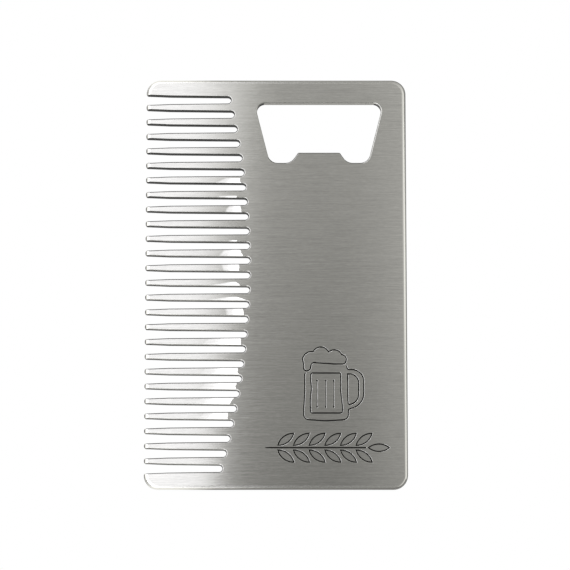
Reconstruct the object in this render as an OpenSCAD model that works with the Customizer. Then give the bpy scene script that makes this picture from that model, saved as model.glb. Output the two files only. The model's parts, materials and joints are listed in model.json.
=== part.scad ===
/* [Card] */
// Length of the card, along the row of teeth
card_l = 85.6; // [82:0.1:95]
// Width of the card, from the tooth tips to the smooth long edge
card_w = 54; // [50:0.1:60]
// Thickness of the steel sheet
card_t = 1.8; // [1.4:0.1:3]
// Radius of the four corners, seen from the front
corner_r = 3; // [1:0.1:4]
// Radius rolled onto the outer rim, front and back
rim_r = 0.8; // [0.2:0.05:0.85]
// Width of the bevel on the edges of the slots and of the mouth, front and back
edge_break = 0.15; // [0.1:0.05:0.25]

/* [Teeth] */
// Number of slots; there is one tooth more
slot_count = 26; // [5:1:26]
// Distance from one slot to the next
slot_pitch = 3.08; // [2.7:0.01:3.15]
// Height of the middle of the slot row above the middle of the card
slot_row_y = 0; // [-0.5:0.05:0.5]
// Depth of the deepest slot, from the tooth tips
slot_depth = 21.65; // [15:0.05:22]
// Radius of the arc that the slot roots follow
root_line_r = 158; // [110:1:500]
// Height of the deepest point of that arc above the middle of the card
root_line_y = 3.1; // [-6:0.1:6]
// Width of a slot at its round root
slot_root_w = 1.42; // [1:0.01:1.7]
// Width of a slot where the teeth start to narrow to their tips
slot_shank_w = 1.7; // [1.4:0.01:2]
// Width of a slot between two tips
slot_tip_w = 2.12; // [1.8:0.01:2.25]
// Length over which the teeth narrow to their tips
tip_l = 5; // [3:0.1:8]
// Radius of the two corners of a tip, seen from the front
tip_r = 0.42; // [0.1:0.01:0.42]

/* [Bottle opener] */
// Distance of the middle of the mouth from the smooth long edge
mouth_edge_x = 18.1; // [17:0.1:20]
// Width of the bridge between the mouth and the top edge
bridge_w = 5; // [3:0.1:10]
// Width of the mouth at its top, measured between the sharp corners
mouth_top_w = 26.8; // [25:0.1:28]
// Width of the mouth at its bottom, measured between the sharp corners
mouth_bottom_w = 20.4; // [19:0.1:22]
// Height of the mouth, from the bottom of its lobes to its top
mouth_h = 12.65; // [11:0.05:18]
// Radius of the two top corners of the mouth
mouth_r = 1.7; // [0.8:0.1:2.5]
// Radius of the outer corner of each lobe
lobe_outer_r = 2.1; // [1:0.1:2.4]
// Radius of the inner corner of each lobe, beside the lip
lobe_inner_r = 2.4; // [1:0.1:2.6]
// Height of the lip that lifts the bottle cap
lip_h = 2.15; // [1.5:0.05:2.6]
// Width of the lip at its crest
lip_w = 8.65; // [7:0.05:9.5]
// Width of the lip at its foot
lip_foot_w = 11.6; // [10.5:0.1:12]
// Radius of the two corners of the crest
lip_r = 0.35; // [0.35:0.05:0.6]

/* [Hidden] */
$fn = 64;
steel = [0.66, 0.655, 0.63];

// How far a cutter reaches past the surface that it cuts
over = 0.05;
// How far a bevel cutter reaches back into the gap beside its edge
inset = 0.3;
// Flats that make up each round corner of the mouth
arc_steps = 12;
// Least flat left between the two rolled edges of the rim
rim_flat = 0.1;
// Greatest share of the width of a tooth tip that its round corners take
tip_share = 0.9;
rim = min(rim_r, (card_t - rim_flat) / 2);
tip_round = min(tip_r, tip_share * (slot_pitch - slot_tip_w) / 2);
bevel_top = edge_break + over;
bevel_bottom = -inset;

tips_x = -card_w / 2;
mouth_x = card_w / 2 - mouth_edge_x;
mouth_top_y = card_l / 2 - bridge_w;
slot_row_half = (slot_count - 1) * slot_pitch / 2;

// Middle of slot i, counted from the top
function slot_y(i) = slot_row_y + slot_row_half - i * slot_pitch;

// Depth of the slot at height y, set by the arc of the roots
function depth_at(y) =
  slot_depth - root_line_r + sqrt(pow(root_line_r, 2) - pow(y - root_line_y, 2));

// A corner b of an outline that runs a, b, c, rounded to radius r
function unit(v) = v / norm(v);
function left_of(v) = [-v[1], v[0]];
function cross_z(u, v) = u[0] * v[1] - u[1] * v[0];
function turn(a, b, c) = atan2(cross_z(b - a, c - b), (b - a) * (c - b));
function shortening(a, b, c, r) = r * tan(abs(turn(a, b, c)) / 2);
function arc_start(a, b, c, r) = b - unit(b - a) * shortening(a, b, c, r);
function arc_end(a, b, c, r) = b + unit(c - b) * shortening(a, b, c, r);
function arc_centre(a, b, c, r) =
  arc_start(a, b, c, r) + left_of(unit(b - a)) * r * sign(turn(a, b, c));

// ---- Blank: a card with rounded corners and a rolled rim ----

module blank_section(width) {
  for (side = [-1, 1], y = [rim, card_t - rim])
    translate([side * (width / 2 - rim), y]) circle(rim);
  translate([-width / 2, rim]) square([width, card_t - 2 * rim]);
  translate([-width / 2 + rim, 0]) square([width - 2 * rim, card_t]);
}

module blank_corner() {
  rotate_extrude() intersection() {
    blank_section(2 * corner_r);
    square([corner_r, card_t]);
  }
}

module blank() {
  straight_l = card_l - 2 * corner_r;
  straight_w = card_w - 2 * corner_r;
  translate([0, straight_l / 2, 0]) rotate([90, 0, 0])
    linear_extrude(straight_l) blank_section(card_w);
  translate([-straight_w / 2, 0, 0]) rotate([90, 0, 90])
    linear_extrude(straight_w) blank_section(card_l);
  for (x = [-1, 1], y = [-1, 1])
    translate([x * straight_w / 2, y * straight_l / 2, 0]) blank_corner();
}

// ---- Slots: x runs inwards from the tooth tips, y from the middle of the slot ----

// Corners of the upper wall of a slot, from its root to the line of the tips
function wall_corners(depth) = [
  [depth - slot_root_w / 2, slot_root_w / 2],
  [tip_l, slot_shank_w / 2],
  [0, slot_tip_w / 2]];

module slot_outline(depth) {
  wall = wall_corners(depth);
  along_tips = wall[2] + [0, 1];
  start = arc_start(wall[1], wall[2], along_tips, tip_round);
  end = arc_end(wall[1], wall[2], along_tips, tip_round);
  middle = arc_centre(wall[1], wall[2], along_tips, tip_round);
  upper = [wall[0], wall[1], start, end, [-1, end[1]]];
  lower = [for (i = [len(upper) - 1 : -1 : 0]) [upper[i][0], -upper[i][1]]];
  translate([wall[0][0], 0]) circle(slot_root_w / 2);
  difference() {
    polygon(concat(upper, lower));
    for (side = [-1, 1]) translate([middle[0], side * middle[1]]) circle(tip_round);
  }
}

// Bevel of a slot's front edges; z = 0 is the foot of the bevel
module slot_bevel(depth) {
  wall = wall_corners(depth);
  root = wall[0];
  shape = [root, wall[1], [-1, wall[2][1] + (wall[2][1] - wall[1][1]) / tip_l]];
  last = len(shape) - 1;
  function ring(grow, z) = concat(
    [for (p = shape) [p[0], p[1] + grow, z]],
    [for (i = [last : -1 : 0]) [shape[i][0], -shape[i][1] - grow, z]]);
  translate([root[0], 0, bevel_bottom])
    cylinder(h = bevel_top - bevel_bottom, r1 = root[1] + bevel_bottom, r2 = root[1] + bevel_top);
  polyhedron(
    concat(ring(bevel_bottom, bevel_bottom), ring(bevel_top, bevel_top)),
    concat(
      [[0, 1, 4, 5], [1, 2, 3, 4], [11, 10, 7, 6], [10, 9, 8, 7]],
      [for (i = [0 : 5]) [i, i + 6, (i + 1) % 6 + 6, (i + 1) % 6]]));
}

// ---- Mouth of the bottle opener: x from its middle, y from the bottom of its lobes ----

// Left half of the outline from the top corner to the crest of the lip: x, y and radius
mouth_half = [
  [-mouth_top_w / 2, mouth_h, mouth_r],
  [-mouth_bottom_w / 2, 0, lobe_outer_r],
  [-lip_foot_w / 2, 0, lobe_inner_r],
  [-lip_w / 2, lip_h, lip_r]];
mouth_corners = concat(
  mouth_half,
  [for (i = [len(mouth_half) - 1 : -1 : 0]) [-mouth_half[i][0], mouth_half[i][1], mouth_half[i][2]]]);
mouth_n = len(mouth_corners);

function mouth_p(i) = [mouth_corners[(i + mouth_n) % mouth_n][0], mouth_corners[(i + mouth_n) % mouth_n][1]];
function mouth_start(i) = arc_start(mouth_p(i - 1), mouth_p(i), mouth_p(i + 1), mouth_corners[i][2]);
function mouth_end(i) = arc_end(mouth_p(i - 1), mouth_p(i), mouth_p(i + 1), mouth_corners[i][2]);
function mouth_centre(i) = arc_centre(mouth_p(i - 1), mouth_p(i), mouth_p(i + 1), mouth_corners[i][2]);
function mouth_turn(i) = turn(mouth_p(i - 1), mouth_p(i), mouth_p(i + 1));
function start_angle(i) =
  atan2(mouth_start(i)[1] - mouth_centre(i)[1], mouth_start(i)[0] - mouth_centre(i)[0]);

// Points of the outline, moved sideways into the steel by grow
function mouth_points(grow) = [
  for (i = [0 : mouth_n - 1], k = [0 : arc_steps])
    let (angle = start_angle(i) + mouth_turn(i) * k / arc_steps)
    mouth_centre(i) + (mouth_corners[i][2] + sign(mouth_turn(i)) * grow) * [cos(angle), sin(angle)]];

// The mouth as it is cut: a core, and a band round it with the walls and both bevels; z = 0 is the back
module mouth() {
  section = [
    [-inset, -over],
    [edge_break + over, -over],
    [0, edge_break],
    [0, card_t - edge_break],
    [edge_break + over, card_t + over],
    [-inset, card_t + over]];
  m = len(section);
  n = mouth_n * (arc_steps + 1);
  polyhedron(
    [for (s = section, p = mouth_points(s[0])) [p[0], p[1], s[1]]],
    [for (j = [0 : m - 1], i = [0 : n - 1])
      [j * n + i, (j + 1) % m * n + i, (j + 1) % m * n + (i + 1) % n, j * n + (i + 1) % n]]);
  translate([0, 0, -over]) linear_extrude(card_t + 2 * over) polygon(mouth_points(-inset / 2));
}

// ---- The comb ----

module place_slots() {
  for (i = [0 : slot_count - 1]) {
    $depth = depth_at(slot_y(i));
    translate([tips_x, slot_y(i), 0]) children();
  }
}

module comb_card() {
  color(steel) difference() {
    blank();
    translate([0, 0, -over]) linear_extrude(card_t + 2 * over) place_slots() slot_outline($depth);
    for (side = [0, 1])
      translate([0, 0, side * card_t]) mirror([0, 0, 1 - side])
        translate([0, 0, -edge_break]) place_slots() slot_bevel($depth);
    translate([mouth_x, mouth_top_y - mouth_h, 0]) mouth();
  }
}

comb_card();
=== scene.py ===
import bmesh
import bpy
import json
import math
from collections import namedtuple
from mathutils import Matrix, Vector

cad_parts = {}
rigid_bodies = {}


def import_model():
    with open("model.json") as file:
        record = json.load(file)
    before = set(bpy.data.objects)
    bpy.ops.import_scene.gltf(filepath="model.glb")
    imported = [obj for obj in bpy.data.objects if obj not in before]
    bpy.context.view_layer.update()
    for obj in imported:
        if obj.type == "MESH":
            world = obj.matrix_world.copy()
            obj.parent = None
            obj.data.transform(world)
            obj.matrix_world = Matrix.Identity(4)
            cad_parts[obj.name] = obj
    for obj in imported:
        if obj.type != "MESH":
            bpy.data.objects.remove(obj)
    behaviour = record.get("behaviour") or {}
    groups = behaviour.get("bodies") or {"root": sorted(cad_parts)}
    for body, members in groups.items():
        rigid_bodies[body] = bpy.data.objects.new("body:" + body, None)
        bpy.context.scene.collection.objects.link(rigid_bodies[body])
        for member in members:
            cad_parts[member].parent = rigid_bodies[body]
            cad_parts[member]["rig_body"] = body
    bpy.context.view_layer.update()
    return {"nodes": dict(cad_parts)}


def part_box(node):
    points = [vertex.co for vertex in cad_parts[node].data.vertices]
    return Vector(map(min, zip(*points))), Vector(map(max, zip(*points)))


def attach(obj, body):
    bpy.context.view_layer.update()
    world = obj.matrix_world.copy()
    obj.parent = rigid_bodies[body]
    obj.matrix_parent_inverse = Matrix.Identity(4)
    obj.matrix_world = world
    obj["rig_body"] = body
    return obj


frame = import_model()

MM = 0.001
card = frame["nodes"]["comb_card"]
CARD_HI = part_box("comb_card")[1]
FACE_Z = CARD_HI.z / MM
WHITE = (1.0, 1.0, 1.0, 1.0)


# ---- Node helpers ----


def tree(name):
    """A new material and its empty node tree."""
    mat = bpy.data.materials.new(name)
    mat.use_nodes = True
    mat.node_tree.nodes.clear()
    return mat, mat.node_tree


def add(nt, kind, **values):
    """A new node; keys are its properties, or its sockets by name or by number after an underscore."""
    n = nt.nodes.new(kind)
    late = {}
    for k, v in values.items():
        if hasattr(n, k):
            setattr(n, k, v)
        else:
            late[k] = v
    for k, v in late.items():
        by_number = k[0] == "_" and k[1:].isdigit()
        socket = n.inputs[int(k[1:])] if by_number else n.inputs[k.replace("_", " ")]
        if isinstance(v, bpy.types.NodeSocket):
            nt.links.new(v, socket)
        else:
            socket.default_value = v
    return n


def calc(nt, op, a, b=0.0, c=0.0):
    """Result of one maths node."""
    return add(nt, "ShaderNodeMath", operation=op, _0=a, _1=b, _2=c).outputs[0]


def plus(nt, a, b):
    return calc(nt, "ADD", a, b)


def minus(nt, a, b):
    return calc(nt, "SUBTRACT", a, b)


def times(nt, a, b):
    return calc(nt, "MULTIPLY", a, b)


def over(nt, a, b):
    return calc(nt, "DIVIDE", a, b)


def scaled(nt, a, factor, offset):
    """a times factor, plus offset."""
    return calc(nt, "MULTIPLY_ADD", a, factor, offset)


def between(nt, share, start, end):
    """From start, where share is 0, to end, where it is 1."""
    return scaled(nt, share, end - start, start)


def clamped(nt, a, low, high):
    return calc(nt, "MINIMUM", calc(nt, "MAXIMUM", a, low), high)


def step(nt, x, low, high):
    """Smooth step of x from 0 at low to 1 at high."""
    n = add(nt, "ShaderNodeMapRange", interpolation_type="SMOOTHSTEP", Value=x, From_Min=low, From_Max=high)
    return n.outputs[0]


def split(nt, vector):
    """The x, y and z of a vector."""
    return add(nt, "ShaderNodeSeparateXYZ", _0=vector).outputs


def tinted(nt, colour, light):
    """A colour times a changing lightness."""
    return add(nt, "ShaderNodeVectorMath", operation="SCALE", _0=colour, Scale=light).outputs[0]


def to_world(nt, vector):
    """A direction on the part, turned into the world's."""
    spaces = {"convert_from": "OBJECT", "convert_to": "WORLD"}
    return add(nt, "ShaderNodeVectorTransform", vector_type="VECTOR", _0=vector, **spaces).outputs[0]


def place(nt):
    """Position on the object in metres."""
    return add(nt, "ShaderNodeTexCoord").outputs["Object"]


def place_mm(nt):
    """Position on the part in millimetres."""
    return add(nt, "ShaderNodeVectorMath", operation="SCALE", _0=place(nt), Scale=1 / MM).outputs[0]


# How far apart along x, y and z each step of a seed takes a noise
SEED_STEP = (1.0, 1.7, 0.3)


def noise(nt, where, scale, detail=2.0, rough=0.5, seed=0.0):
    """Noise from about -1 to 1; scale holds the features per millimetre along x, y and z."""
    shift = tuple(seed * s for s in SEED_STEP)
    at = add(nt, "ShaderNodeMapping", Vector=where, Scale=scale, Location=shift).outputs[0]
    n = add(nt, "ShaderNodeTexNoise", Vector=at, Scale=1.0, Detail=detail, Roughness=rough)
    return scaled(nt, n.outputs[0], 2.0, -1.0)


def surface(nt, shader):
    """Makes a shader the material's surface."""
    add(nt, "ShaderNodeOutputMaterial", Surface=shader.outputs[0])


# ---- The teeth as they are cut, in millimetres ----

# Teeth are numbered from the far end of the card, the band beyond the first slot being number 0
SLOT_Y = 38.5
SLOT_PITCH = 3.08
TOOTH_COUNT = 27
# The arc of their roots
ROOT_R = 158.0
ROOT_Y = 3.1
ROOT_X = -5.35

# Teeth that punching left very slightly bent. length: the bent stretch. off: its distance from the root.
# slant_root, slant_tip: how far its two ends slant per millimetre down the tooth.
# crease: how far below the tooth's middle the bend begins, where only the lower part of a tooth is bent.
WHOLE_TOOTH = -1.0
Bend = namedtuple("Bend", "length off slant_root slant_tip crease", defaults=(0.0, 0.0, WHOLE_TOOTH))
BENT = {
    6: Bend(length=3.9, off=1.0, slant_root=0.25, slant_tip=2.2, crease=-0.33),
    7: Bend(length=3.8, off=2.1, crease=0.35),
    8: Bend(length=3.1, off=1.4, slant_root=0.1, slant_tip=0.6),
    10: Bend(length=1.7, off=2.7, crease=0.45),
    11: Bend(length=4.3, off=1.7, slant_root=0.6, slant_tip=0.8),
    12: Bend(length=3.6, off=2.3, slant_root=-0.1, slant_tip=-0.3),
    13: Bend(length=2.0, off=2.75, slant_root=1.0, slant_tip=6.0, crease=-0.05),
    14: Bend(length=2.3, off=2.5, slant_root=2.9, slant_tip=7.0, crease=0.0),
    15: Bend(length=3.7, off=1.1, slant_root=0.15, slant_tip=-0.1),
    17: Bend(length=7.4, off=1.1, slant_root=0.1, slant_tip=1.2),
    19: Bend(length=7.3, off=0.95, slant_root=0.35, slant_tip=0.8),
    20: Bend(length=7.2, off=0.8, slant_root=0.1, slant_tip=0.7),
    21: Bend(length=7.2, off=1.2, slant_root=-0.4, slant_tip=0.9),
    22: Bend(length=5.6, off=1.4, slant_root=0.1, slant_tip=0.8),
}
NOT_BENT = Bend(length=0.0, off=0.0)
# The tilt at the root's end of a bend, as a slope, and the least distance from the root to that end
BENT_SLOPE = 0.075
BENT_END = 0.5
# How far the ends of the bends wander, and how sharply they and the creases begin
BENT_RAG = 0.5
BENT_EDGE = 0.06
CREASE_EDGE = 0.04
SHORTEST_BEND = 0.001

# Teeth that lean a little up (or down) towards their tips: slope in thousandths, and how soon it is reached
LEAN = {
    0: 1.2, 2: 0.8, 3: 0.6, 4: 1.2, 5: 0.9, 6: 0.8, 7: 2.4, 8: 3.0, 9: 2.6, 10: 1.4, 11: 0.8, 13: 0.6,
    16: -1.6, 18: -1.0, 25: -0.4,
}
LEAN_RUN = 1.5

# Full ranges of what is looked up for each tooth
BENT_FULL = 10.0
SLANT_FULL = 18.0
LEAN_FULL = 8.0


def per_tooth(nt, row, values):
    """Three values from 0 to 1 for each tooth, looked up by the tooth's number."""
    ramp = add(nt, "ShaderNodeValToRGB", Fac=over(nt, plus(nt, row, 0.5), TOOTH_COUNT))
    stops = ramp.color_ramp
    stops.interpolation = "CONSTANT"
    while len(stops.elements) < TOOTH_COUNT:
        stops.elements.new(1.0)
    for k in range(TOOTH_COUNT):
        stops.elements[k].position = k / TOOTH_COUNT
        stops.elements[k].color = (*values(k), 1.0)
    return add(nt, "ShaderNodeSeparateColor", Color=ramp.outputs[0]).outputs


def bend_and_lean(k):
    """Length and distance of a tooth's bend and its lean, each from 0 to 1."""
    bend = BENT.get(k, NOT_BENT)
    return bend.length / BENT_FULL, bend.off / BENT_FULL, 0.5 + LEAN.get(k, 0.0) / LEAN_FULL


def bend_ends(k):
    """Both slants and the crease of a tooth's bend, each from 0 to 1."""
    bend = BENT.get(k, NOT_BENT)
    return tuple(0.5 + v / SLANT_FULL for v in (bend.slant_root, bend.slant_tip, bend.crease))


def root_line(nt, y):
    """Where along x the roots of the slots lie."""
    off = minus(nt, y, ROOT_Y)
    reach = calc(nt, "SQRT", minus(nt, ROOT_R**2, times(nt, off, off)))
    return minus(nt, reach, ROOT_R - ROOT_X)


def teeth_shape(nt, p):
    """How much the front tilts towards the tips where teeth are bent, and the height of teeth that lean."""
    x, y, _ = split(nt, p)
    slot = over(nt, minus(nt, SLOT_Y + SLOT_PITCH, y), SLOT_PITCH)
    row = calc(nt, "FLOOR", slot)
    length, off, lean = per_tooth(nt, row, bend_and_lean)[:3]
    ends = per_tooth(nt, row, bend_ends)
    slant_root, slant_tip, crease = (times(nt, minus(nt, ends[i], 0.5), SLANT_FULL) for i in range(3))
    # How far below the middle of its tooth a point lies
    below = times(nt, minus(nt, minus(nt, slot, row), 0.5), SLOT_PITCH)
    length = calc(nt, "MULTIPLY_ADD", below, plus(nt, slant_root, slant_tip), times(nt, length, BENT_FULL))
    length = calc(nt, "MAXIMUM", length, SHORTEST_BEND)
    root = root_line(nt, y)
    rag = noise(nt, p, scale=(0.7, 1.3, 1.0), rough=0.6, seed=41.0)
    start = scaled(nt, off, -BENT_FULL, scaled(nt, rag, BENT_RAG, root))
    start = calc(nt, "MULTIPLY_ADD", below, slant_root, start)
    before = minus(nt, calc(nt, "MINIMUM", start, minus(nt, root, BENT_END)), x)
    # The tilt is greatest near the root and fades over the length of the bend
    gone = over(nt, calc(nt, "MAXIMUM", before, 0.0), length)
    left = calc(nt, "MAXIMUM", minus(nt, 1.0, gone), 0.0)
    under_crease = step(nt, below, minus(nt, crease, CREASE_EDGE), crease)
    inside = times(nt, step(nt, before, 0.0, BENT_EDGE), under_crease)
    tilt = times(nt, times(nt, left, inside), BENT_SLOPE)
    # The lean grows gently from the root on
    run = calc(nt, "MAXIMUM", minus(nt, root, x), 0.0)
    run = over(nt, times(nt, run, run), plus(nt, run, LEAN_RUN))
    lean = times(nt, minus(nt, lean, 0.5), LEAN_FULL / 1000)
    return tilt, times(nt, run, lean)


# ---- Materials ----

STEEL = (0.615, 0.607, 0.563)

# How far the front's edges are rolled over by tumbling, and how far round the engraving, in millimetres
ROLL = 0.18
ROLL_SMALL = 0.09
ROLL_SAMPLES = 8
# From where to where the roll grows towards the teeth, the two rims and the right end of the mouth
ROLL_TEETH_X = (-3.0, -4.0)
ROLL_RIM_X = (24.0, 25.0)
ROLL_RIM_Y = (30.0, 31.0)
ROLL_MOUTH_X = (16.5, 17.5)
ROLL_MOUTH_Y = (15.0, 16.0)
# Painted shade: the teeth's rolled edges are darkened where they look up the card: how much, from which tilt
# on, and where
EDGE_SHADE = 0.85
EDGE_SHADE_TILT = (0.06, 0.32)
EDGE_SHADE_X = (-4.0, -5.0)
EDGE_SHADE_Y = (39.6, 39.4)
# The brush lines: shares of the short, long and wide ones, their roughness and their height in millimetres
SHORT_SHARE = 0.4
LONG_SHARE = 0.6
WIDE_SHARE = 0.2
BRUSH_ROUGH = 0.03
BRUSH_HEIGHT = 0.0004
BRUSH_ANISOTROPY = 0.97
# How much clouds change the sheet's tone, and how much the grain changes a cut's tone and roughness
CLOUD_TONE = 0.012
SPECK_TONE = 0.08
SPECK_ROUGH = 0.06
DARKEST = 0.05
# Where along y the darkening towards the far end of the card ends, and where it is full, in millimetres
FAR_DARK_END = -2.0
FAR_DARK_FULL = 22.0


def steel(tone):
    """The steel's colour, lighter or darker."""
    return tuple(c * tone for c in STEEL)


def edge_roll(nt, x, y):
    """Radius in metres that the front's edges are rolled over by."""
    rims = calc(nt, "MAXIMUM", step(nt, x, *ROLL_RIM_X), step(nt, y, *ROLL_RIM_Y))
    edge = calc(nt, "MAXIMUM", step(nt, x, *ROLL_TEETH_X), rims)
    mouth_end = times(nt, step(nt, x, *ROLL_MOUTH_X), step(nt, y, *ROLL_MOUTH_Y))
    return between(nt, calc(nt, "MAXIMUM", edge, mouth_end), ROLL_SMALL * MM, ROLL * MM)


def painted_edge_shade(nt, x, y, rolled):
    """1, and less on the rolled upper edges of the teeth, where it paints shade."""
    up = split(nt, rolled)[1]
    at_teeth = times(nt, step(nt, x, *EDGE_SHADE_X), step(nt, calc(nt, "ABSOLUTE", y), *EDGE_SHADE_Y))
    return scaled(nt, times(nt, step(nt, up, *EDGE_SHADE_TILT), at_teeth), -EDGE_SHADE, 1.0)


def brush_streaks(nt, p):
    """The tone of the brush lines, which run along x: short, long and wide ones."""
    short = noise(nt, p, scale=(0.9, 4.6, 4.6), detail=1.0, seed=3.1)
    long = noise(nt, p, scale=(0.16, 4.2, 4.2), seed=11.3)
    wide = noise(nt, p, scale=(0.04, 1.1, 1.1), seed=23.7)
    return scaled(nt, short, SHORT_SHARE, scaled(nt, long, LONG_SHARE, times(nt, wide, WIDE_SHARE)))


def relief(nt, height, **base):
    """Normal of a surface with a fine height in millimetres."""
    return add(nt, "ShaderNodeBump", Strength=1.0, Distance=MM, Height=height, **base).outputs[0]


def rolled_normal(nt, radius):
    """Normal of edges that are rolled over by a radius in metres."""
    return add(nt, "ShaderNodeBevel", samples=ROLL_SAMPLES, Radius=radius).outputs[0]


def bent_normal(nt, p, height, rolled):
    """The front's normal: brush lines and leaning teeth as height on rolled edges, bent teeth as a tilt."""
    tilt, lean = teeth_shape(nt, p)
    plain = relief(nt, plus(nt, height, lean), Normal=rolled)
    towards_tip = add(nt, "ShaderNodeCombineXYZ", X=times(nt, tilt, -1.0)).outputs[0]
    tilted = add(nt, "ShaderNodeVectorMath", operation="ADD", _0=plain, _1=to_world(nt, towards_tip))
    return add(nt, "ShaderNodeVectorMath", operation="NORMALIZE", _0=tilted.outputs[0]).outputs[0]


def brushed(name, tone=1.0, rough=0.105, streak_tone=0.265, teeth=True):
    """Sheet steel with its brush lines; with teeth it has the front's bent teeth, rolled edges and painted
    shade on the teeth's upper rolled edges too.
    """
    mat, nt = tree(name)
    p = place_mm(nt)
    streak = brush_streaks(nt, p)
    cloud = noise(nt, p, scale=(0.05, 0.05, 0.05), detail=3.0, seed=5.0)
    light = scaled(nt, streak, streak_tone, scaled(nt, cloud, CLOUD_TONE, 1.0))
    hair = noise(nt, p, scale=(0.3, 13.0, 13.0), detail=1.0, seed=31.0)
    height = times(nt, hair, BRUSH_HEIGHT)
    if teeth:
        x, y, _ = split(nt, p)
        rolled = rolled_normal(nt, edge_roll(nt, x, y))
        # Painted shade on the teeth's rolled edges that look up the card
        light = times(nt, light, painted_edge_shade(nt, x, y, rolled))
        normal = bent_normal(nt, p, height, rolled)
    else:
        normal = relief(nt, height)
    bsdf = add(
        nt,
        "ShaderNodeBsdfPrincipled",
        Base_Color=tinted(nt, steel(tone), light),
        Metallic=1.0,
        Roughness=scaled(nt, streak, BRUSH_ROUGH, rough),
        Anisotropic=BRUSH_ANISOTROPY,
        Tangent=to_world(nt, (0.0, 1.0, 0.0)),
        Normal=normal,
    )
    surface(nt, bsdf)
    return mat


def cut(name, tone, rough, grain=0.03, size=6.0, stain=0.0, far_darkening=0.0, edge_shaded=False):
    """Cut, punched or rolled steel with a fine even grain; stain is how uneven its tone is.

    far_darkening is how much darker its far end is, and edge_shaded steel gets painted shade on the teeth's
    upper rolled edges.
    """
    mat, nt = tree(name)
    p = place_mm(nt)
    x, y, _ = split(nt, p)
    speck = noise(nt, p, scale=(size, size, size), detail=3.0, rough=0.6, seed=7.0)
    light = scaled(nt, speck, SPECK_TONE, 1.0)
    if stain:
        patches = noise(nt, p, scale=(0.14, 0.4, 0.3), seed=53.0)
        light = times(nt, light, scaled(nt, patches, stain, 1.0))
    # Darker towards the far end of the card
    if far_darkening:
        light = times(nt, light, scaled(nt, step(nt, y, FAR_DARK_END, FAR_DARK_FULL), -far_darkening, 1.0))
    # Painted shade on the teeth's rolled edges that look up the card
    if edge_shaded:
        light = times(nt, light, painted_edge_shade(nt, x, y, rolled_normal(nt, ROLL * MM)))
    bsdf = add(
        nt,
        "ShaderNodeBsdfPrincipled",
        Base_Color=tinted(nt, steel(tone), calc(nt, "MAXIMUM", light, DARKEST)),
        Metallic=1.0,
        Roughness=scaled(nt, speck, SPECK_ROUGH, rough),
        Normal=relief(nt, times(nt, speck, grain / size)),
    )
    surface(nt, bsdf)
    return mat


MATERIALS = [
    brushed("brushed_face"),
    # Dark partly from the rough cut and partly as painted shade of the narrow slots
    cut("slot_wall_painted_shade", tone=0.2, rough=0.42, stain=0.8, far_darkening=0.4),
    # Lightened beyond the steel's own tone as painted light of the open mouth
    cut("mouth_wall_painted_light", tone=1.4, rough=0.4),
    cut("mouth_bevel", tone=0.8, rough=0.3, grain=0.015),
    cut("bevel_face", tone=0.75, rough=0.3, grain=0.015, stain=0.5, far_darkening=0.85),
    # A dark copy of the bevel steel for bevels that look up the card and at the roots: painted shade
    cut("bevel_painted_shade", tone=0.13, rough=0.4, stain=0.9),
    # With painted shade on the teeth's rolled edges that look up the card
    cut("rolled_rim", tone=1.05, rough=0.12, grain=0.01, edge_shaded=True),
    cut("engraved", tone=0.05, rough=0.5, grain=0.08),
    brushed("etched", tone=0.89, rough=0.14, streak_tone=0.2, teeth=False),
]
FACE, SHADED_WALL, LIT_MOUTH_WALL, MOUTH_EDGE, BEVEL, SHADED_BEVEL, RIM, GROOVE, ETCHED = range(len(MATERIALS))


# ---- Which finish each face of the card has ----

# Width of the rolled rim and of its corners, and where the opener's side of the card begins, in millimetres
RIM_IN = 0.82
CORNER_IN = 3.1
MOUTH_FROM_X = -5.0
# Faces are told apart by their normals. FLAT: how much of it points up on the front and the back
FLAT = 0.9995
# How much of it points up on a bevel, and along y on one that looks that way
SLOPING = 0.3
# How much of it points outward where the tips' roll turns down, and to the tips on the bevels of the roots
TIP_ROLL = 0.78
ROOT_ROUND = 0.4
# How much of it points along x, and to the near end, on the mouth's walls that take the dark wall with its
# painted shade
SLANTED = 0.2


def on_rim(poly):
    """Whether a face belongs to the rolled rim; of the tooth tips only the upper part of the roll does."""
    nx, ny, _ = poly.normal
    from_x = (CARD_HI.x - abs(poly.center.x)) / MM
    from_y = (CARD_HI.y - abs(poly.center.y)) / MM
    if from_y < RIM_IN or max(from_x, from_y) < CORNER_IN:
        return True
    if from_x >= RIM_IN:
        return False
    return poly.center.x > 0 or (abs(ny) < SLOPING and nx > -TIP_ROLL)


def finish_of(poly):
    """Number of the material that a face of the card has."""
    nx, ny, nz = poly.normal
    bevel = abs(nz) > SLOPING
    if abs(nz) > FLAT:
        return FACE
    if on_rim(poly):
        return RIM
    if poly.center.x / MM > MOUTH_FROM_X:
        # Bevels that look up the card take the painted-shade bevel; slanted walls facing the near end take
        # the dark wall with its painted shade, the others the lightened mouth wall
        if bevel:
            return SHADED_BEVEL if ny > SLOPING else MOUTH_EDGE
        return SHADED_WALL if abs(nx) > SLANTED and ny < -SLANTED else LIT_MOUTH_WALL
    # Bevels that look up the card, and those at the roots, take the painted-shade bevel; the rest are dark
    # walls with painted shade
    if bevel:
        return SHADED_BEVEL if ny > SLOPING or nx < -ROOT_ROUND else BEVEL
    return SHADED_WALL


card.data.materials.clear()
for material in MATERIALS:
    card.data.materials.append(material)
for poly in card.data.polygons:
    poly.material_index = finish_of(poly)


# ---- Engraving: closed cutters, taken out of the front of the card, in millimetres ----


def circle_through(a, m, b):
    """Centre's x and y and radius of the circle through three points."""
    ax, ay, mx, my, bx, by = *a, *m, *b
    aa, mm, bb = ax**2 + ay**2, mx**2 + my**2, bx**2 + by**2
    d = 2 * (ax * (my - by) + mx * (by - ay) + bx * (ay - my))
    ux = (aa * (my - by) + mm * (by - ay) + bb * (ay - my)) / d
    uy = (aa * (bx - mx) + mm * (ax - bx) + bb * (mx - ax)) / d
    return ux, uy, math.hypot(ax - ux, ay - uy)


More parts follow.
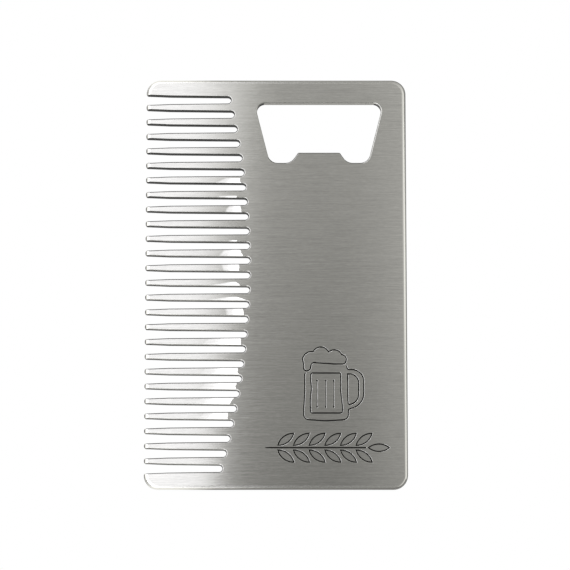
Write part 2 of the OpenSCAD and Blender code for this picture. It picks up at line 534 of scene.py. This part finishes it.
def arc_through(a, m, b, n):
    """Points of the arc from a through m to b, without a."""
    ux, uy, r = circle_through(a, m, b)
    start, middle, end = (math.atan2(y - uy, x - ux) for x, y in (a, m, b))
    turn_m = (middle - start) % (2 * math.pi)
    turn_b = (end - start) % (2 * math.pi)
    sweep = turn_b if turn_m < turn_b else turn_b - 2 * math.pi
    angles = [start + sweep * i / n for i in range(1, n + 1)]
    return [(ux + r * math.cos(t), uy + r * math.sin(t)) for t in angles]


# The most of a side that a rounded corner takes, and the half angle from which a corner counts as straight
SIDE_SHARE = 0.49
NEARLY_STRAIGHT = math.radians(89)


def rounded(corners, closed=True, steps=5):
    """Polyline through corners (x, y, radius)."""
    out = []
    n = len(corners)
    for i, (x, y, r) in enumerate(corners):
        if r == 0 or (not closed and i in (0, n - 1)):
            out.append((x, y))
            continue
        b = Vector((x, y))
        a = Vector(corners[i - 1][:2])
        c = Vector(corners[(i + 1) % n][:2])
        u, v = (a - b).normalized(), (c - b).normalized()
        half = u.angle(v) / 2
        reach = min(r / math.tan(half), (a - b).length * SIDE_SHARE, (c - b).length * SIDE_SHARE)
        s, e = b + u * reach, b + v * reach
        mid = b + (u + v).normalized() * (reach / math.cos(half) - reach * math.tan(half))
        out.append(tuple(s))
        if half < NEARLY_STRAIGHT:
            out += arc_through(tuple(s), tuple(mid), tuple(e), steps)
    return out


# The V-shaped lines: half width, depth, and how far the cutters stand above the face
V_HALF = 0.14
V_DEPTH = 0.17
ABOVE = 0.01
# The finer lines of the mug's flutes, and the shallow floor of the barley's grains
FLUTE_HALF = 0.09
FLUTE_DEPTH = 0.11
GRAIN_DEPTH = 0.03
# Share of its width that an open line ends with, and how much wider a line may get round a sharp corner
LINE_END = 0.75
MOST_STRETCH = 1.6
LEAST_COSINE = 0.3
# What counts as two opposite directions
NO_LENGTH = 1e-6


def sideways_at(path, i, closed):
    """Sideways direction of a path at one of its points, and how much wider its line is round a corner."""
    n = len(path)
    p = Vector(path[i])
    before = p - Vector(path[i - 1]) if closed or i > 0 else None
    after = Vector(path[(i + 1) % n]) - p if closed or i < n - 1 else None
    d1, d2 = (before or after).normalized(), (after or before).normalized()
    tangent = (d1 + d2).normalized() if (d1 + d2).length > NO_LENGTH else d1
    normal = Vector((-tangent.y, tangent.x))
    cosine = max(normal.dot(Vector((-d1.y, d1.x))), LEAST_COSINE)
    return normal, min(1 / cosine, MOST_STRETCH)


def groove(bm, path, closed, half=V_HALF, depth=V_DEPTH, swell=None):
    """V-shaped cutter, swept along a path in the face's plane; swell is each point's share of its width."""
    out = half * (1 + ABOVE / depth)
    profile = [(-out, ABOVE), (0.0, -depth), (out, ABOVE)]
    n = len(path)
    rings = []
    for i, point in enumerate(path):
        sideways, stretch = sideways_at(path, i, closed)
        at_end = not closed and i in (0, n - 1)
        k = swell[i] if swell else LINE_END if at_end else 1.0
        ring = []
        for o, z in profile:
            q = Vector(point) + sideways * o * stretch * k
            height = FACE_Z + (z if z > 0 else z * k)
            ring.append(bm.verts.new((q.x * MM, q.y * MM, height * MM)))
        rings.append(ring)
    m = len(profile)
    for i in range(n if closed else n - 1):
        a, b = rings[i], rings[(i + 1) % n]
        for j in range(m):
            side = (a[j], b[j], b[(j + 1) % m], a[(j + 1) % m])
            bm.faces.new(side).material_index = GROOVE
    if not closed:
        for ring in (rings[0][::-1], rings[-1]):
            bm.faces.new(ring).material_index = GROOVE


def recess(bm, outline, depth):
    """Cutter with a flat floor."""
    low = [bm.verts.new((x * MM, y * MM, (FACE_Z - depth) * MM)) for x, y in outline]
    top = [bm.verts.new((x * MM, y * MM, (FACE_Z + ABOVE) * MM)) for x, y in outline]
    bm.faces.new(low[::-1]).material_index = ETCHED
    bm.faces.new(top).material_index = ETCHED
    n = len(outline)
    for i in range(n):
        side = (low[i], low[(i + 1) % n], top[(i + 1) % n], top[i])
        bm.faces.new(side).material_index = GROOVE


def mug_foam():
    """The foam: three humps, a short end on the right and a drop that runs down on the left."""
    foam = [(5.42, -16.0)]
    foam += arc_through(foam[-1], (5.95, -15.0), (6.75, -14.5), 6)
    foam += [(7.65, -14.42)]
    foam += arc_through(foam[-1], (9.4, -13.48), (10.82, -14.5), 9)
    foam += arc_through(foam[-1], (12.2, -14.07), (13.5, -15.05), 8)
    foam += arc_through(foam[-1], (14.45, -15.9), (13.9, -17.0), 8)
    foam += [(11.9, -17.0), (10.4, -16.88), (8.3, -16.74)]
    foam += arc_through(foam[-1], (7.55, -16.78), (7.25, -17.1), 4)
    foam += [(7.12, -17.6)]
    foam += arc_through(foam[-1], (6.35, -18.42), (5.68, -18.0), 7)
    foam += [(5.68, -17.2), (5.62, -16.7)]
    return foam


def mug_panel():
    """The panel in the mug's side, slightly waisted."""
    top, bottom = -18.87, -27.12
    right = [(13.27, top, 0.2), (13.26, -22.6, 2.0), (13.62, -25.8, 1.5), (13.66, bottom, 0.45)]
    left = [(7.06, bottom, 0.45), (7.03, -24.2, 2.0), (7.27, -22.2, 2.0), (7.12, -20.4, 2.0)]
    return rounded([(7.15, top, 0.35), *right, *left])


def mug_handle_hole():
    """The opening of the handle."""
    hole = [(14.7, -19.06), (15.35, -19.05)]
    hole += arc_through(hole[-1], (16.5, -19.68), (16.94, -21.2), 8)
    hole += [(16.95, -22.95)]
    hole += arc_through(hole[-1], (16.45, -24.62), (15.25, -25.33), 8)
    hole += [(15.0, -25.36), (14.8, -25.15), (14.74, -24.5), (14.7, -22.7)]
    return hole


def mug_outline():
    """The open outline: down the left side, along the base, and up round the handle."""
    side = [(6.1, -18.72, 0), (5.88, -19.2, 0.5), (5.9, -22.8, 3.0), (5.68, -26.3, 3.0)]
    base = [(5.68, -28.42, 1.1), (10.2, -28.74, 8.0), (14.82, -28.45, 1.2), (14.84, -26.4, 0.2)]
    outline = rounded([*side, *base, (15.5, -26.14, 0)], closed=False, steps=7)
    outline += arc_through(outline[-1], (17.3, -25.0), (17.98, -22.95), 9)
    outline += [(17.99, -20.9)]
    outline += arc_through(outline[-1], (17.25, -18.82), (15.5, -18.16), 9)
    outline += [(14.82, -18.15), (14.6, -17.95), (14.5, -17.35)]
    return outline


# The flutes: where they stand, their ends and the middle, and the dots that swell at both ends
FLUTE_X = (8.42, 10.18, 11.85)
FLUTE_TOP = -20.45
FLUTE_MID = -23.0
FLUTE_BOTTOM = -25.85
FLUTE_DOT = 0.2
FLUTE_SWELL = [0.6, 2.4, 1.0, 1.0, 1.0, 2.4, 0.6]


def flutes():
    """The flutes in the mug's panel, each a thin line between two dots."""
    upper = [FLUTE_TOP + FLUTE_DOT, FLUTE_TOP, FLUTE_TOP - FLUTE_DOT]
    lower = [FLUTE_BOTTOM + FLUTE_DOT, FLUTE_BOTTOM, FLUTE_BOTTOM - FLUTE_DOT]
    return [[(x, y) for y in (*upper, FLUTE_MID, *lower)] for x in FLUTE_X]


# The ear of barley: its stem with a taper at each end, the pairs of grains and the one at the tip
EAR_Y = -34.25
STEM_FROM = -2.2
STEM_TAPER = (1.2, 0.4)
STEM_SHORT_OF_TIP = 1.1
STEM_BARE = 2.6
EAR_FROM = STEM_FROM + STEM_BARE
EAR_PITCH = 3.2
EAR_PAIRS = 6
EAR_TIP = EAR_FROM + EAR_PAIRS * EAR_PITCH
GRAIN_L = 4.05
GRAIN_W = 1.42
GRAIN_ANGLE = math.radians(37)
GRAIN_OFF = 0.5
TOP_GRAIN_L = 4.3
TOP_GRAIN_W = 1.5
TOP_GRAIN_BACK = 0.7


def leaf(x, y, length, width, angle, n=9):
    """Pointed oval that starts at (x, y)."""
    c, s = math.cos(angle), math.sin(angle)
    a, b = (0.0, 0.0), (length, 0.0)
    outline = arc_through(a, (length / 2, width / 2), b, n) + arc_through(b, (length / 2, -width / 2), a, n)
    return [(x + u * c - w * s, y + u * s + w * c) for u, w in outline]


def barley_grains():
    """The grains of a lying ear of barley: pairs along the stem, and one at its tip."""
    grains = []
    for i in range(EAR_PAIRS):
        for side in (1, -1):
            at = (EAR_FROM + i * EAR_PITCH, EAR_Y + side * GRAIN_OFF)
            grains.append(leaf(*at, GRAIN_L, GRAIN_W, side * GRAIN_ANGLE))
    grains.append(leaf(EAR_TIP - TOP_GRAIN_BACK, EAR_Y, TOP_GRAIN_L, TOP_GRAIN_W, 0.0))
    return grains


def barley_stem():
    """Its stem, which tapers over a short stretch at both ends."""
    end = EAR_TIP - STEM_SHORT_OF_TIP
    return [(x, EAR_Y) for x in (STEM_FROM, STEM_FROM + STEM_TAPER[0], end - STEM_TAPER[1], end)]


def engraving_cutter():
    """One hidden mesh that holds the cutters of all lines."""
    bm = bmesh.new()
    for line in (mug_foam(), mug_panel(), mug_handle_hole()):
        groove(bm, line, True)
    groove(bm, mug_outline(), False)
    for line in flutes():
        groove(bm, line, False, half=FLUTE_HALF, depth=FLUTE_DEPTH, swell=FLUTE_SWELL)
    for outline in barley_grains():
        recess(bm, outline, GRAIN_DEPTH)
        groove(bm, outline, True)
    groove(bm, barley_stem(), False)
    bmesh.ops.recalc_face_normals(bm, faces=bm.faces)
    mesh = bpy.data.meshes.new("engraving_cutter")
    bm.to_mesh(mesh)
    bm.free()
    for material in MATERIALS:
        mesh.materials.append(material)
    return bpy.data.objects.new("engraving_cutter", mesh)


cutter = engraving_cutter()
bpy.context.scene.collection.objects.link(cutter)
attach(cutter, card["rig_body"])
cutter.hide_render = True
cutter.hide_viewport = True


# ---- Modifiers of the card: welded, engraved and smoothly shaded ----

WELD_GAP = 0.001 * MM
SHARP_ANGLE = math.radians(35)


def geometry_group(name):
    """A new geometry node group, where its geometry comes in and where it goes out."""
    group = bpy.data.node_groups.new(name, "GeometryNodeTree")
    group.interface.new_socket("Geometry", in_out="INPUT", socket_type="NodeSocketGeometry")
    group.interface.new_socket("Geometry", in_out="OUTPUT", socket_type="NodeSocketGeometry")
    start = group.nodes.new("NodeGroupInput").outputs[0]
    end = group.nodes.new("NodeGroupOutput").inputs[0]
    return group, start, end


def weld_group():
    """Joins the card's faces at their shared points and drops its stored normals."""
    group, start, end = geometry_group("weld")
    plain = add(group, "GeometryNodeRemoveAttribute", Geometry=start, Name="custom_normal")
    welded = add(group, "GeometryNodeMergeByDistance", Geometry=plain.outputs[0], Distance=WELD_GAP)
    group.links.new(welded.outputs[0], end)
    return group


def smooth_group():
    """Smooth shading, with sharp edges at corners and where the finish changes."""
    group, start, end = geometry_group("shading")
    angle = group.nodes.new("GeometryNodeInputMeshEdgeAngle").outputs[0]
    finish = group.nodes.new("GeometryNodeInputMaterialIndex").outputs[0]
    corner = add(group, "FunctionNodeCompare", operation="GREATER_THAN", _0=angle, _1=SHARP_ANGLE).outputs[0]
    border = add(group, "GeometryNodeMeshFaceSetBoundaries", _0=finish).outputs[0]
    sharp = add(group, "FunctionNodeBooleanMath", operation="OR", _0=corner, _1=border)
    smooth = add(group, "GeometryNodeSetShadeSmooth", domain="FACE", Geometry=start, Shade_Smooth=True)
    edges = add(
        group,
        "GeometryNodeSetShadeSmooth",
        domain="EDGE",
        Geometry=smooth.outputs[0],
        Selection=sharp.outputs[0],
        Shade_Smooth=False,
    )
    group.links.new(edges.outputs[0], end)
    return group


weld = card.modifiers.new("weld", "NODES")
weld.node_group = weld_group()
carve = card.modifiers.new("engraving", "BOOLEAN")
carve.operation = "DIFFERENCE"
carve.solver = "EXACT"
carve.object = cutter
carve.use_self = True
carve.material_mode = "TRANSFER"
shading = card.modifiers.new("shading", "NODES")
shading.node_group = smooth_group()


# ---- Stage: the floor and what the steel mirrors of it, in metres and as light ----


def emitter(name, strength):
    """A plain white glow."""
    mat, nt = tree(name)
    surface(nt, add(nt, "ShaderNodeEmission", Color=WHITE, Strength=strength))
    return mat


def sheet(name, size, at, facing, mat):
    """A flat stage sheet in metres, its face turned towards a point, or upwards if that is None."""
    mesh = bpy.data.meshes.new(name)
    hx, hy = size[0] / 2, size[1] / 2
    mesh.from_pydata([(-hx, -hy, 0), (hx, -hy, 0), (hx, hy, 0), (-hx, hy, 0)], [], [(0, 1, 2, 3)])
    mesh.materials.append(mat)
    obj = bpy.data.objects.new(name, mesh)
    bpy.context.scene.collection.objects.link(obj)
    obj.location = at
    if facing is not None:
        obj.rotation_mode = "QUATERNION"
        obj.rotation_quaternion = (Vector(facing) - Vector(at)).to_track_quat("Z", "Y")
    return obj


FLOOR_SIZE = 8.0
FLOOR_Z = -0.0002
# To the steel the paper glows with painted light: dim near the card, and lit from the left further out
PAPER_DIM = 0.34
PAPER_LIT = 1.7
LIT_FROM = -0.04
LIT_TO = -0.075
# Beyond the ends of the card the lit part reaches further right
ENDS_LIT = 1.2
ENDS_Y = 0.0425
ENDS_SOFT = 0.0005
ENDS_FROM = -0.008
ENDS_TO = -0.022


def floor_material():
    """White paper: a flat white to the camera; to the steel a glow of painted light, a pale sheet lit from
    one side.
    """
    mat, nt = tree("paper")
    x, y, _ = split(nt, place(nt))
    lit = between(nt, step(nt, x, LIT_FROM, LIT_TO), PAPER_DIM, PAPER_LIT)
    beyond = step(nt, calc(nt, "ABSOLUTE", y), ENDS_Y, ENDS_Y + ENDS_SOFT)
    ends = times(nt, step(nt, x, ENDS_FROM, ENDS_TO), beyond)
    lit = calc(nt, "MAXIMUM", lit, times(nt, ends, ENDS_LIT))
    sheen = add(nt, "ShaderNodeEmission", Color=WHITE, Strength=lit)
    seen = add(nt, "ShaderNodeEmission", Color=WHITE, Strength=1.0)
    by_camera = add(nt, "ShaderNodeLightPath").outputs["Is Camera Ray"]
    surface(nt, add(nt, "ShaderNodeMixShader", _0=by_camera, _1=sheen.outputs[0], _2=seen.outputs[0]))
    return mat


# ---- Light: a soft box over the teeth, a grey field over the rest ----

CEILING_Z = 0.9
CEILING_SIZE = 3.0
# The soft box's edge leans and softens from the near place to the far place along y
NEAR_Y = 0.05
FAR_Y = 0.25
EDGE_NEAR = -0.0345
EDGE_FAR = -0.028
SOFT_NEAR = 0.006
SOFT_FAR = 0.024
# It swings outward beyond both ends of the card's reflection
SWING_FAR_Y = 0.38
SWING_FAR_W = 0.1
SWING_FAR = 0.013
SWING_NEAR_Y = -0.08
SWING_NEAR_W = 0.2
SWING_NEAR = 0.022
# Its white is stronger far to the left
BOX_WHITE = 1.52
BOX_HOT = 2.4
HOT_X = -0.09
HOT_SOFT = 0.012
WHITE_TINT = (0.985, 0.99, 1.06, 1.0)
# The grey field is brighter to the far end
GREY_NEAR = 0.275
GREY_FAR = 0.49
GREY_LOW = 0.26
GREY_HIGH = 0.56
# It rises to both sides of a valley
VALLEY_X = 0.0225
VALLEY_W = 0.035
VALLEY_LEFT = 0.1
VALLEY_RIGHT = 0.5
VALLEY_TOP = 0.6
# Far to the right it is bright, and far behind it is dim
RIGHT_FROM = 0.35
RIGHT_TO = 0.9
RIGHT_WHITE = 0.62
BACK_FROM = 0.38
BACK_TO = 0.6
BACK_DIM = 0.35


def box_share(nt, x, y, held):
    """1 inside the soft box and 0 outside it."""
    edge = between(nt, held, EDGE_NEAR, EDGE_FAR)
    edge = scaled(nt, step(nt, y, SWING_FAR_Y, SWING_FAR_Y + SWING_FAR_W), -SWING_FAR, edge)
    edge = scaled(nt, step(nt, y, SWING_NEAR_Y, SWING_NEAR_Y - SWING_NEAR_W), -SWING_NEAR, edge)
    soft = between(nt, held, SOFT_NEAR, SOFT_FAR)
    return step(nt, over(nt, minus(nt, edge, x), soft), -1.0, 1.0)


def grey_field(nt, x, y, along, held):
    """Light of the field beside the soft box."""
    base = clamped(nt, between(nt, along, GREY_NEAR, GREY_FAR), GREY_LOW, GREY_HIGH)
    side = over(nt, minus(nt, x, VALLEY_X), VALLEY_W)
    on_right = calc(nt, "GREATER_THAN", side, 0.0)
    steeper = times(nt, minus(nt, 1.0, held), VALLEY_RIGHT - VALLEY_LEFT)
    rise = calc(nt, "MULTIPLY_ADD", on_right, steeper, VALLEY_LEFT)
    bowl = calc(nt, "MINIMUM", times(nt, times(nt, side, side), rise), VALLEY_TOP)
    grey = times(nt, base, plus(nt, bowl, 1.0))
    grey = scaled(nt, step(nt, x, RIGHT_FROM, RIGHT_TO), RIGHT_WHITE, grey)
    return times(nt, grey, scaled(nt, step(nt, y, BACK_FROM, BACK_TO), -BACK_DIM, 1.0))


def ceiling_material():
    """The studio's ceiling as the steel mirrors it."""
    mat, nt = tree("soft_box")
    x, y, _ = split(nt, place(nt))
    along = over(nt, minus(nt, y, NEAR_Y), FAR_Y - NEAR_Y)
    # The same, but no less than at the near place and no more than at the far place
    held = clamped(nt, along, 0.0, 1.0)
    white = box_share(nt, x, y, held)
    grey = grey_field(nt, x, y, along, held)
    hot = step(nt, x, HOT_X + HOT_SOFT, HOT_X - HOT_SOFT)
    box = between(nt, hot, BOX_WHITE, BOX_HOT)
    strength = calc(nt, "MULTIPLY_ADD", white, minus(nt, box, grey), grey)
    tint = add(nt, "ShaderNodeMix", data_type="RGBA", _0=white, _6=WHITE, _7=WHITE_TINT).outputs[2]
    surface(nt, add(nt, "ShaderNodeEmission", Color=tint, Strength=strength))
    return mat


# Side lights, and lights beyond both ends of the card, which stand on the teeth's side only
SIDE_X = 1.55
SIDE_W = 2.4
RIGHT_H = 0.8
RIGHT_Z = 0.52
RIGHT_GLOW = 1.15
LEFT_H = 0.86
LEFT_Z = 0.43
LEFT_GLOW = 1.2
END_X = -0.078
END_W = 1.2
END_Y = 1.6
END_H = 0.9
END_GLOW = 1.4


def side_light(name, x, z, height, mat):
    """An upright light that faces the card from one side."""
    return sheet(name, (height, SIDE_W), (x, 0.0, z), (0, 0, z), mat)


def end_light(i, y):
    """An upright light beyond one end of the card."""
    middle = END_X - END_W / 2
    glow = emitter(f"end_glow_{i}", END_GLOW)
    return sheet(f"end_light_{i}", (END_W, END_H), (middle, y, END_H / 2), (middle, 0, END_H / 2), glow)


sheet("floor", (FLOOR_SIZE, FLOOR_SIZE), (0, 0, FLOOR_Z), None, floor_material())
lights = [
    sheet("ceiling_light", (CEILING_SIZE, CEILING_SIZE), (0, 0, CEILING_Z), None, ceiling_material()),
    side_light("right_light", SIDE_X, RIGHT_Z, RIGHT_H, emitter("right_glow", RIGHT_GLOW)),
    side_light("left_light", -SIDE_X, LEFT_Z, LEFT_H, emitter("left_glow", LEFT_GLOW)),
    end_light(0, END_Y),
    end_light(1, -END_Y),
]
for light in lights:
    light.visible_camera = False

# The room is brighter behind the far end of the card than in front of the near end
ROOM = 0.4
ROOM_RISE = 0.17


def studio_world():
    """A pale room to the steel, and white to the camera."""
    world = bpy.data.worlds.new("studio")
    world.use_nodes = True
    nt = world.node_tree
    nt.nodes.clear()
    toward = split(nt, add(nt, "ShaderNodeTexCoord").outputs["Generated"])[1]
    room = add(nt, "ShaderNodeBackground", Color=WHITE, Strength=scaled(nt, toward, ROOM_RISE, ROOM))
    seen = add(nt, "ShaderNodeBackground", Color=WHITE, Strength=1.0)
    by_camera = add(nt, "ShaderNodeLightPath").outputs["Is Camera Ray"]
    both = add(nt, "ShaderNodeMixShader", _0=by_camera, _1=room.outputs[0], _2=seen.outputs[0])
    add(nt, "ShaderNodeOutputWorld", Surface=both.outputs[0])
    return world


bpy.context.scene.world = studio_world()


# ---- Camera, at the photo's viewing angle ----

# Its place and aim, with lens and sensor in millimetres; it sees from CAMERA_NEAR to CAMERA_FAR in metres
CAMERA_AT = Vector((1.851, -97.322, 593.946)) * MM
CAMERA_AIM = Vector((1.851, -0.561, 1.8)) * MM
CAMERA_LENS = 183.77
CAMERA_SENSOR = 36.0
CAMERA_NEAR = 0.01
CAMERA_FAR = 20.0


def photo_camera():
    """The camera at the photo's distance and tilt."""
    data = bpy.data.cameras.new("camera")
    data.sensor_width = CAMERA_SENSOR
    data.lens = CAMERA_LENS
    data.clip_start = CAMERA_NEAR
    data.clip_end = CAMERA_FAR
    obj = bpy.data.objects.new("camera", data)
    bpy.context.scene.collection.objects.link(obj)
    obj.location = CAMERA_AT
    obj.rotation_mode = "QUATERNION"
    obj.rotation_quaternion = (CAMERA_AIM - CAMERA_AT).to_track_quat("-Z", "Y")
    return obj


camera = photo_camera()
bpy.context.scene.camera = camera
bpy.context.scene.view_settings.view_transform = "Standard"
